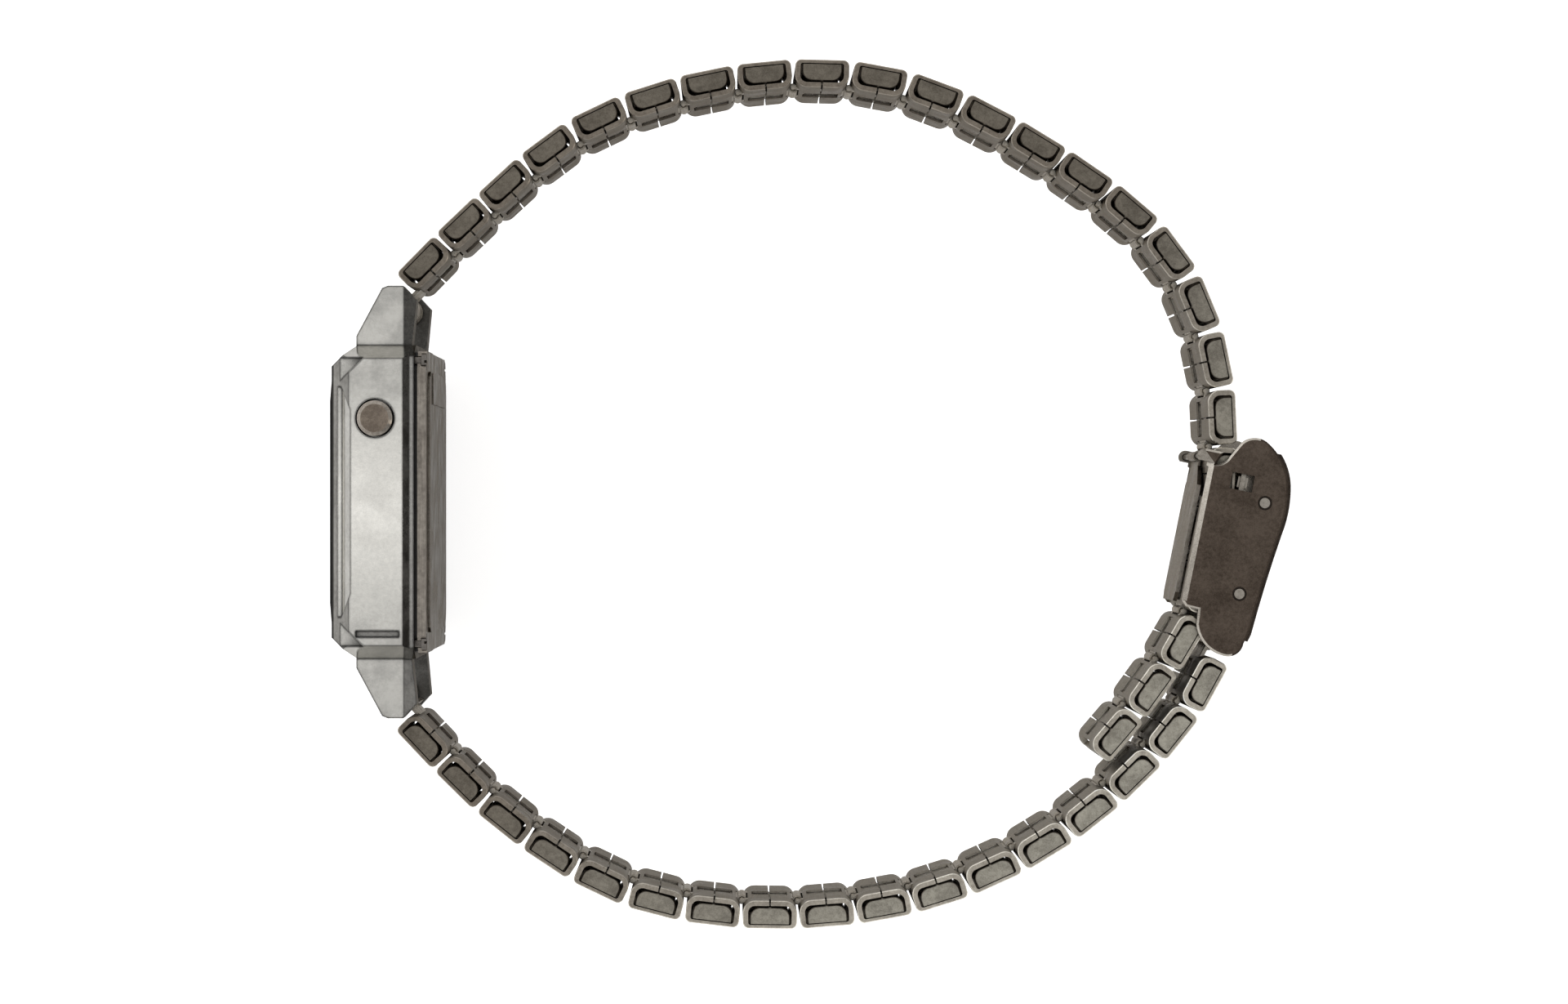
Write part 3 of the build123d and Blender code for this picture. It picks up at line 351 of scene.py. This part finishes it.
def between(tree, factor, low, high, span):
    """A value that runs from low to high while the factor runs over its span."""
    start, end = span
    ramp = add(
        tree,
        "ShaderNodeMapRange",
        Value=factor,
        From_Min=start,
        From_Max=end,
        To_Min=low,
        To_Max=high,
    )
    return ramp.outputs["Result"]


def blend(tree, factor, dark, light, span):
    """A colour that runs from dark to light while the factor runs over its span."""
    ramp = add(tree, "ShaderNodeValToRGB", Fac=factor)
    for stop, share, colour in zip(ramp.color_ramp.elements, span, (dark, light)):
        stop.position = share
        stop.color = (*colour, full)
    return ramp.outputs["Color"]


def scaled(tree, colour, factor):
    """A colour multiplied by a factor."""
    node = tree.nodes.new("ShaderNodeVectorMath")
    node.operation = "SCALE"
    tree.links.new(colour, node.inputs["Vector"])
    tree.links.new(factor, node.inputs["Scale"])
    return node.outputs["Vector"]


def add_relief(tree, shader, strength, height):
    """Gives a shader fine relief from a noise."""
    relief = add(tree, "ShaderNodeBump", Strength=strength, Distance=bump_distance, Height=height)
    tree.links.new(relief.outputs["Normal"], shader.inputs["Normal"])


# Materials

def sealed(tree, colour):
    """A colour that is black at the case's very front, where the crystal's seal shows."""
    start = seal_front + seal_width
    span = (start, start + seal_fade)
    shade = between(tree, place_parts(tree, "Object")["X"], seal_dark, full, span)
    return scaled(tree, colour, shade)


def shaded_in_gaps(tree, colour, reach):
    """A colour with painted shade: darker in narrow gaps and corners."""
    openness = add(tree, "ShaderNodeAmbientOcclusion", Distance=reach)
    openness.samples = gap_shade_samples
    shade = between(tree, openness.outputs["AO"], gap_shade_dark, full, gap_shade_span)
    return scaled(tree, colour, shade)


def edge_shaded(tree, colour):
    """A colour with painted shade: darker along edges."""
    bevel = add(tree, "ShaderNodeBevel", Radius=edge_width)
    bevel.samples = edge_samples
    rounded = bevel.outputs["Normal"]
    flat = tree.nodes.new("ShaderNodeNewGeometry").outputs["Normal"]
    alike = operate(tree, "ShaderNodeVectorMath", "DOT_PRODUCT", rounded, flat)
    shade = between(tree, alike.outputs["Value"], edge_shade_dark, full, edge_span)
    return scaled(tree, colour, shade)


def painted_light_towards_clasp(tree, colour, share):
    """A colour with painted light: brighter towards the clasp's lower end."""
    parts = place_parts(tree, "Object")
    along = maths(tree, "SUBTRACT", parts["X"], parts["Y"])
    gains = tree.nodes.new("ShaderNodeCombineXYZ")
    for gain, socket in zip(painted_light_gains, gains.inputs):
        most = full + share * (gain - full)
        tree.links.new(between(tree, along, full, most, painted_light_span), socket)
    gained = operate(tree, "ShaderNodeVectorMath", "MULTIPLY", colour, gains.outputs["Vector"])
    return gained.outputs["Vector"]


def steel(name):
    """Steel in two tones, with blotches, fine pits, and strokes along an axis where brushed."""
    light, dark, rough, strokes_along, relief_strength = steel_finishes[name]
    material, tree, shader = fresh_material(name)
    blotches = noise(tree, broad_grain)
    strokes = noise(tree, fine_grain, strokes_along)
    pits = noise(tree, middle_grain)
    grain = mixed(tree, strokes, pits, pit_share)
    tone = mixed(tree, blotches, grain, grain_share)
    # Painted shade in narrow gaps and corners
    reach = case_gap_shade_reach if name.startswith("case") else band_gap_shade_reach
    colour = shaded_in_gaps(tree, blend(tree, tone, dark, light, tone_span), reach)
    polished = name in polished_finishes
    # Painted shade along the edges of polished steel
    if polished:
        colour = edge_shaded(tree, colour)
    if name in sealed_finishes:
        colour = sealed(tree, colour)
    # Painted light on the links, brighter towards the clasp's lower end
    if name in painted_light_shares:
        colour = painted_light_towards_clasp(tree, colour, painted_light_shares[name])
    roughness = between(tree, blotches, *rough, rough_span)
    tree.links.new(colour, shader.inputs["Base Color"])
    tree.links.new(roughness, shader.inputs["Roughness"])
    shader.inputs["Metallic"].default_value = full
    shader.inputs["Specular Tint"].default_value = polished_tint if polished else dull_tint
    add_relief(tree, shader, relief_strength, grain)
    return material


def plain(name):
    """Moulded plastic, rubber, glass or laminate with faint mottling."""
    light, dark, rough, gloss = plain_finishes[name]
    material, tree, shader = fresh_material(name)
    colour = blend(tree, noise(tree, middle_grain), dark, light, mottle_span)
    roughness = between(tree, noise(tree, broad_grain), *rough, rough_span)
    tree.links.new(colour, shader.inputs["Base Color"])
    tree.links.new(roughness, shader.inputs["Roughness"])
    shader.inputs["Specular IOR Level"].default_value = gloss
    add_relief(tree, shader, plain_relief, noise(tree, fine_grain))
    return material


def crystal_glass(name):
    """Clear mineral glass with faint smears."""
    material, tree, shader = fresh_material(name)
    smears = noise(tree, stain_grain)
    colour = blend(tree, smears, crystal_smeared, crystal_clear, mottle_span)
    roughness = between(tree, noise(tree, broad_grain), *crystal_rough, rough_span)
    tree.links.new(colour, shader.inputs["Base Color"])
    tree.links.new(roughness, shader.inputs["Roughness"])
    shader.inputs["Transmission Weight"].default_value = full
    shader.inputs["IOR"].default_value = crystal_bending
    return material


made_materials = {}


def material_of(finish):
    """The material of a finish, made when it is first asked for."""
    if finish not in made_materials:
        if finish in steel_finishes:
            made_materials[finish] = steel(finish)
        elif finish in plain_finishes:
            made_materials[finish] = plain(finish)
        else:
            made_materials[finish] = crystal_glass(finish)
    return made_materials[finish]


# Dressing the nodes, face by face

def dress(node, finishes, choose):
    """Gives a node its finishes, and each face the one that a function of the face names."""
    mesh = nodes[node].data
    mesh.materials.clear()
    for finish in finishes:
        mesh.materials.append(material_of(finish))
    for polygon in mesh.polygons:
        polygon.material_index = finishes.index(choose(polygon))


def inside(value, limits):
    return limits[0] < value < limits[1]


def near_axis(polygon, axes, radius):
    """Whether a face lies within a radius of one of several axes along Z."""
    centre = polygon.center
    return any(math.hypot(centre.x - x, centre.y - y) < radius for x, y in axes)


def islands(mesh):
    """The separate solids of a mesh, each as a list of its polygons."""
    parent = list(range(len(mesh.vertices)))

    def root(vertex):
        while parent[vertex] != vertex:
            parent[vertex] = parent[parent[vertex]]
            vertex = parent[vertex]
        return vertex

    same_place = {}
    for vertex in mesh.vertices:
        key = tuple(round(value / weld_reach) for value in vertex.co)
        first = same_place.setdefault(key, vertex.index)
        parent[root(vertex.index)] = root(first)
    for edge in mesh.edges:
        parent[root(edge.vertices[0])] = root(edge.vertices[1])
    found = {}
    for polygon in mesh.polygons:
        found.setdefault(root(polygon.vertices[0]), []).append(polygon)
    return list(found.values())


def link_solids(mesh):
    """For each polygon, whether its solid is the folded sheet, an end plate or the clip."""
    solids = {}
    for polygons in islands(mesh):
        corners = [corner for polygon in polygons for corner in polygon.vertices]
        heights = [mesh.vertices[corner].co.z for corner in corners]
        width = max(heights) - min(heights)
        solid = "clip"
        if width > least_sheet_width:
            solid = "sheet"
        elif width < most_plate_width:
            solid = "plate"
        for polygon in polygons:
            solids[polygon.index] = solid
    return solids


def dress_link(node):
    """Ends, rims and faces of a link's sheet and end plates differ, and its clip is painted
    brighter as a highlight.
    """
    solids = link_solids(nodes[node].data)

    def choose(polygon):
        solid = solids[polygon.index]
        up = abs(polygon.normal.z)
        # The clip is painted brighter, as a highlight
        if solid == "clip":
            return "clip_strip_highlight"
        if up > nearly_square:
            return "link_end" if solid == "sheet" else "insert_end"
        if up > slanted:
            return "link_rim" if solid == "sheet" else "insert_rim"
        return "link_face" if solid == "sheet" else "insert_end"

    dress(
        node,
        ("link_end", "link_rim", "link_face", "insert_end", "insert_rim", "clip_strip_highlight"),
        choose,
    )


def dress_case():
    """Side panels, slopes, scoops and shoulders are polished, and the bezel's front is brushed.

    The slopes and facets are painted darker than the panel as shade, the scoops' ends and the
    undercut are dark with painted shade, and the button wells and inner faces are dull, with
    painted shade.
    """
    case_low, case_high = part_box("case")
    middle = (case_low + case_high) / 2
    button_low, button_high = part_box("button_right_upper")
    button = (button_low + button_high) / 2
    mirrored_y = middle.y - (button.y - middle.y)
    wells = ((button.x, button.y), (button.x, mirrored_y))

    def choose(polygon):
        side = 1 if polygon.center.z > middle.z else -1
        outward = polygon.normal.z * side
        forward = -polygon.normal.x
        along = abs(polygon.normal.y)
        depth = min(case_high.z - polygon.center.z, polygon.center.z - case_low.z)
        # Painted shade in the button wells
        if abs(outward) < well_wall_tilt and near_axis(polygon, wells, well_radius):
            return "case_inner_shade"
        # Ledge faces below the panel get the facets' painted shade
        if outward > square:
            return "case_facet_shaded" if inside(depth, ledge_depths) else "case_panel"
        if forward > square:
            return "case_brushed"
        if inside(forward, scoop_forward) and inside(outward, scoop_outward):
            return "case_scoop"
        if along > facing and outward > turned:
            return "case_scoop"
        # Painted shade: slopes darker than the panel
        if forward > slope_forward and outward > turned:
            return "case_slope_shaded"
        if min(forward, along) > steep_end_turn and depth < steep_end_depth:
            return "case_shade"
        if forward > facing and inside(along, shallow_end_turns) and depth < shallow_end_depth:
            return "case_shade"
        undercut = -forward > undercut_backward and outward > undercut_outward
        if undercut and polygon.center.y > undercut_end_y:
            return "case_shade"
        # Painted shade on the inner faces
        if -forward > square or -outward > facing:
            return "case_inner_shade"
        # Painted shade: other facets darker than the panel
        return "case_facet_shaded"

    dress(
        "case",
        (
            "case_panel",
            "case_brushed",
            "case_facet_shaded",
            "case_shade",
            "case_inner_shade",
            "case_scoop",
            "case_slope_shaded",
        ),
        choose,
    )


def hinge_place(name):
    """The place in X and Y of a hinge's axis."""
    return next(joint["pos_m"][:2] for joint in frame["joints"] if joint["name"] == name)


def dress_clasp():
    """The cheeks are dark, with bright bends on the wrist's side as painted highlight, painted
    shade on the cover's edges and on faces sunk a little below the cheek, and the rest is brushed
    sheet.
    """
    clasp_low, clasp_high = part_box("clasp_housing")
    flap_hinge = hinge_place("clasp_flap_hinge")

    def choose(polygon):
        up = abs(polygon.normal.z)
        depth = min(clasp_high.z - polygon.center.z, polygon.center.z - clasp_low.z)
        if near_axis(polygon, [flap_hinge], ear_radius):
            return "clasp_sheet"
        if up > facing:
            if depth < flat_depth:
                return "cheek_flat"
            # Painted shade on faces sunk a little below the cheek, such as the dimples' rings
            return "cover_edge_shade" if inside(depth, ring_depths) else "clasp_sheet"
        if up > slanted:
            # Painted shade on edges turned to the cover's side, painted highlight on the other
            # bends
            return "cover_edge_shade" if polygon.normal.x > turned else "cheek_rim_highlight"
        return "clasp_sheet"

    dress("clasp_housing", ("cheek_flat", "cheek_rim_highlight", "clasp_sheet", "cover_edge_shade"), choose)


def dress_split(node, axis, least, finish, other_finish):
    """One finish on the faces that are turned to an axis, and another on the rest."""

    def choose(polygon):
        return finish if abs(getattr(polygon.normal, axis)) > least else other_finish

    dress(node, (finish, other_finish), choose)


def dress_all():
    for node in nodes:
        if "link" in node:
            dress_link(node)
        elif node.startswith("button_"):
            dress_split(node, "z", facing, "button_cap", "button_side")
        elif node in whole_finishes:
            dress(node, (whole_finishes[node],), lambda polygon: whole_finishes[node])
    dress_case()
    dress_clasp()
    # Painted shade on the cover's faces turned to Z
    dress_split("clasp_cover", "z", slanted, "cover_edge_shade", "clasp_sheet")
    dress_split("crystal", "x", facing, "crystal_glass", "crystal_edge")


# Display segments

def segment_shapes(size, stroke):
    """Outlines of the seven segments of a digit, in places across and up from its lower corner."""
    width, height = size
    half = stroke / 2
    shapes = {}
    levels = {"a": height - half, "g": height / 2, "d": half}
    for name, level in levels.items():
        left = half + segment_gap
        right = width - half - segment_gap
        shapes[name] = [
            (left, level),
            (left + half, level - half),
            (right - half, level - half),
            (right, level),
            (right - half, level + half),
            (left + half, level + half),
        ]
    spans = {
        "f": (half, height / 2, height - half),
        "b": (width - half, height / 2, height - half),
        "e": (half, half, height / 2),
        "c": (width - half, half, height / 2),
    }
    for name, (across, low_end, high_end) in spans.items():
        bottom = low_end + segment_gap
        top = high_end - segment_gap
        shapes[name] = [
            (across, bottom),
            (across + half, bottom + half),
            (across + half, top - half),
            (across, top),
            (across - half, top - half),
            (across - half, bottom + half),
        ]
    return shapes


def colon_dots(middle):
    """Outlines of the colon's two square dots, about a place across."""
    half = large_stroke / 2
    return [
        [
            (middle - half, level - half),
            (middle + half, level - half),
            (middle + half, level + half),
            (middle - half, level + half),
        ]
        for level in colon_levels
    ]


def display_outlines():
    """Outlines of the lit segments and the colon's dots, across and up, and their whole width."""
    outlines = []
    across = 0.0
    groups = (
        (large_reading, large_size, large_stroke),
        (small_reading, small_size, small_stroke),
    )
    for reading, size, stroke in groups:
        shapes = segment_shapes(size, stroke)
        for sign in reading:
            if sign == ":":
                outlines += colon_dots(across - digit_gap + colon_space / 2)
                across += colon_space - digit_gap
                continue
            for name in lit_segments[sign]:
                outlines.append([(across + x, up) for x, up in shapes[name]])
            across += size[0] + digit_gap
        across += group_gap - digit_gap
    return outlines, across - group_gap


def add_display():
    """The lit segments, as thin prisms on the panel's front, readable from the case's front."""
    lcd_low, lcd_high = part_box("lcd_panel")
    outlines, width = display_outlines()
    start_z = (lcd_low.z + lcd_high.z - width) / 2
    start_y = digit_middle_y - large_size[1] / 2
    points = []
    faces = []
    for outline in outlines:
        count = len(outline)
        base = [len(points) + corner for corner in range(count)]
        front = [corner + count for corner in base]
        for depth in (0, segment_depth):
            for across, up in outline:
                points.append((lcd_low.x - depth, start_y + up, start_z + across))
        faces.append(base)
        faces.append(front[::-1])
        for corner in range(count):
            after = (corner + 1) % count
            faces.append([base[after], base[corner], front[corner], front[after]])
    mesh = bpy.data.meshes.new("display_segments")
    mesh.from_pydata(points, [], faces)
    mesh.materials.append(material_of("lcd_segment"))
    piece = bpy.data.objects.new("display_segments", mesh)
    bpy.context.scene.collection.objects.link(piece)
    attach(piece, "case")


# Stage: floor, light and camera

def floor_material():
    """White that the camera sees as plain white where no shadow falls."""
    material, tree, shader = fresh_material("floor_white")
    blotch = tuple(floor_blotch_share * value for value in floor_colour)
    colour = blend(tree, noise(tree, floor_grain), blotch, floor_colour, mottle_span)
    tree.links.new(colour, shader.inputs["Base Color"])
    shader.inputs["Roughness"].default_value = floor_roughness
    shader.inputs["Emission Color"].default_value = white
    rays = tree.nodes.new("ShaderNodeLightPath").outputs
    straight = maths(tree, "MAXIMUM", rays["Is Camera Ray"], rays["Is Transmission Ray"])
    glow = maths(tree, "MULTIPLY", straight, floor_glow)
    gloss_glow = maths(tree, "MULTIPLY", rays["Is Glossy Ray"], floor_gloss_glow)
    tree.links.new(maths(tree, "MAXIMUM", glow, gloss_glow), shader.inputs["Emission Strength"])
    return material


def make_floor():
    mesh = bpy.data.meshes.new("floor")
    corners = [
        (-floor_reach, -floor_reach, 0),
        (floor_reach, -floor_reach, 0),
        (floor_reach, floor_reach, 0),
        (-floor_reach, floor_reach, 0),
    ]
    mesh.from_pydata(corners, [], [range(len(corners))])
    mesh.materials.append(floor_material())
    floor = bpy.data.objects.new("floor", mesh)
    bpy.context.scene.collection.objects.link(floor)
    floor.location.z = cad_low.z - floor_gap


def make_lamp(name, place, width, power, colour):
    """A round soft lamp, aimed at the middle of the loop."""
    data = bpy.data.lights.new(name, "AREA")
    data.shape = "DISK"
    data.size = width
    data.energy = power
    data.color = colour
    lamp = bpy.data.objects.new(name, data)
    lamp.location = place
    aim = Vector((0, 0, cad_high.z / 2)) - Vector(place)
    lamp.rotation_euler = aim.to_track_quat("-Z", "Y").to_euler()
    bpy.context.scene.collection.objects.link(lamp)


def make_sky():
    """Soft light from all round, brighter from the left, with a bright band across the middle."""
    world = bpy.data.worlds.new("soft_sky")
    world.use_nodes = True
    tree = world.node_tree
    tree.nodes.clear()
    parts = place_parts(tree, "Generated")
    sideways = between(tree, parts["X"], sky_left, sky_right, sky_span)
    share = between(tree, parts["Y"], 0.0, full, sky_band)
    shades = add(tree, "ShaderNodeValToRGB", Fac=share)
    stops = shades.color_ramp.elements
    for stop_share, level in sky_shades[1:-1]:
        stops.new(stop_share)
    for stop, (stop_share, level) in zip(stops, sky_shades):
        grey = level / sky_shade_top
        stop.position = stop_share
        stop.color = (grey, grey, grey, full)
    lengthways = maths(tree, "MULTIPLY", shades.outputs["Color"], sky_shade_top)
    strength = maths(tree, "MULTIPLY", sideways, lengthways)
    background = add(tree, "ShaderNodeBackground", Color=sky_colour, Strength=strength)
    add(tree, "ShaderNodeOutputWorld", Surface=background.outputs["Background"])
    bpy.context.scene.world = world


def make_camera():
    data = bpy.data.cameras.new("camera")
    data.lens = camera_lens
    data.sensor_width = camera_sensor
    data.shift_x = camera_shift
    data.clip_start = camera_near
    data.clip_end = camera_far
    camera = bpy.data.objects.new("camera", data)
    camera.location = camera_place
    bpy.context.scene.collection.objects.link(camera)
    bpy.context.scene.camera = camera


dress_all()
add_display()
make_floor()
make_sky()
for lamp in lamps:
    make_lamp(*lamp)
make_camera()
bpy.context.scene.view_settings.view_transform = "Standard"
